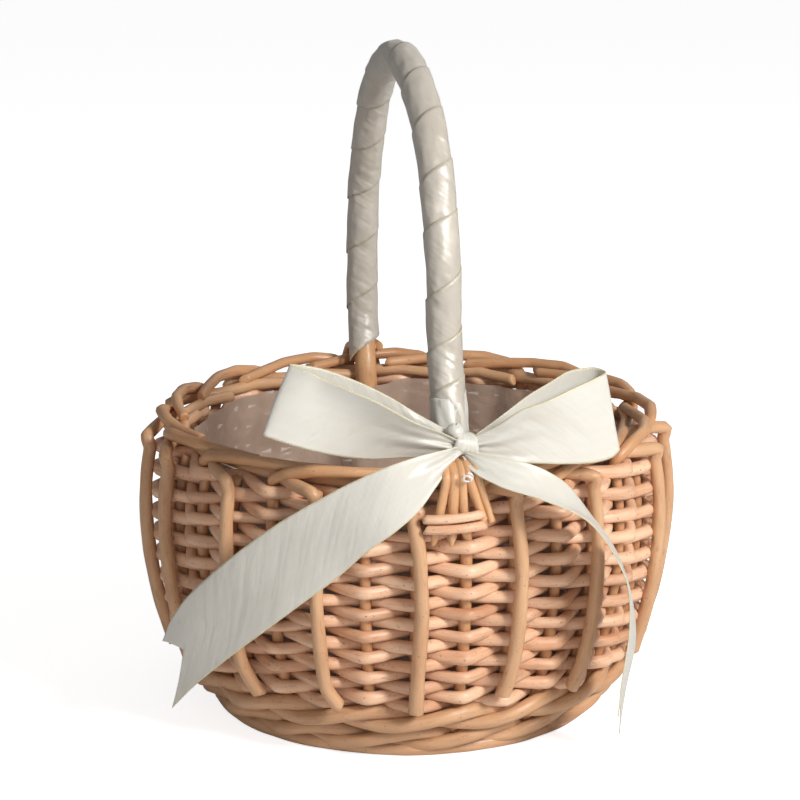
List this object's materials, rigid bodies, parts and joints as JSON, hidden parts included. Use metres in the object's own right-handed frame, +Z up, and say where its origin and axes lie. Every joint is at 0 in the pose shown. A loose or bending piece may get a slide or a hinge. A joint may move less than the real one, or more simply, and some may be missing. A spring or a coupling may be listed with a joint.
{
  "type": "flower girl basket",
  "caption": "Round willow basket with thick rods over a woven side, a folded border, a clear film liner and an arch handle wrapped in ivory satin ribbon with a bow.",
  "frame": {"origin": "middle of the resting face under the base", "axes": "+Z up; the arch handle stands in the plane X = 0; the bow is on the -Y foot of the handle"},
  "size_m": [0.2034, 0.2069, 0.2451],
  "materials": {
    "willow_base": "matt peeled willow",
    "willow_heavy": "peeled willow with a soft sheen",
    "willow_stake": "peeled willow",
    "willow_weaver": "peeled willow, slightly pink tan, dark knots",
    "willow_handle": "peeled willow",
    "satin_wrap": "ivory satin ribbon wound round the handle",
    "satin_bow": "ivory satin ribbon with a woven edge",
    "clear_film": "clear glossy film",
    "clear_nylon": "clear nylon"
  },
  "bodies": {
    "root": {"base_lower_mat": "willow_base", "base_upper_mat": "willow_base", "base_sticks": "willow_base", "foot_rod": "willow_heavy", "thin_stakes": "willow_stake", "inner_stakes": "willow_stake", "outer_rods": "willow_heavy", "wale_row_1": "willow_heavy", "wale_row_2": "willow_heavy", "wale_row_3": "willow_heavy", "wale_row_4": "willow_heavy", "side_row_01": "willow_weaver", "side_row_02": "willow_weaver", "side_row_03": "willow_weaver", "side_row_04": "willow_weaver", "side_row_05": "willow_weaver", "side_row_06": "willow_weaver", "side_row_07": "willow_weaver", "side_row_08": "willow_weaver", "side_row_09": "willow_weaver", "side_row_10": "willow_weaver", "side_row_11": "willow_weaver", "side_row_12": "willow_weaver", "side_row_13": "willow_weaver", "side_row_14": "willow_weaver", "side_row_15": "willow_weaver", "side_row_16": "willow_weaver", "side_row_17": "willow_weaver", "side_row_18": "willow_weaver", "side_row_19": "willow_weaver", "side_row_20": "willow_weaver", "handle_rod": "willow_handle", "handle_ribbon_wrap": "satin_wrap", "handle_pegs_front": "willow_handle", "handle_pegs_back": "willow_handle", "foot_weavers_front": "willow_weaver", "foot_weavers_back": "willow_weaver", "clear_tie": "clear_nylon", "film_liner": "clear_film", "bow_band": "satin_bow", "bow_knot": "satin_bow", "bow_loop_left": "satin_bow", "bow_loop_right": "satin_bow", "bow_tail_left": "satin_bow", "bow_tail_right": "satin_bow"}
  },
  "joints": []
}
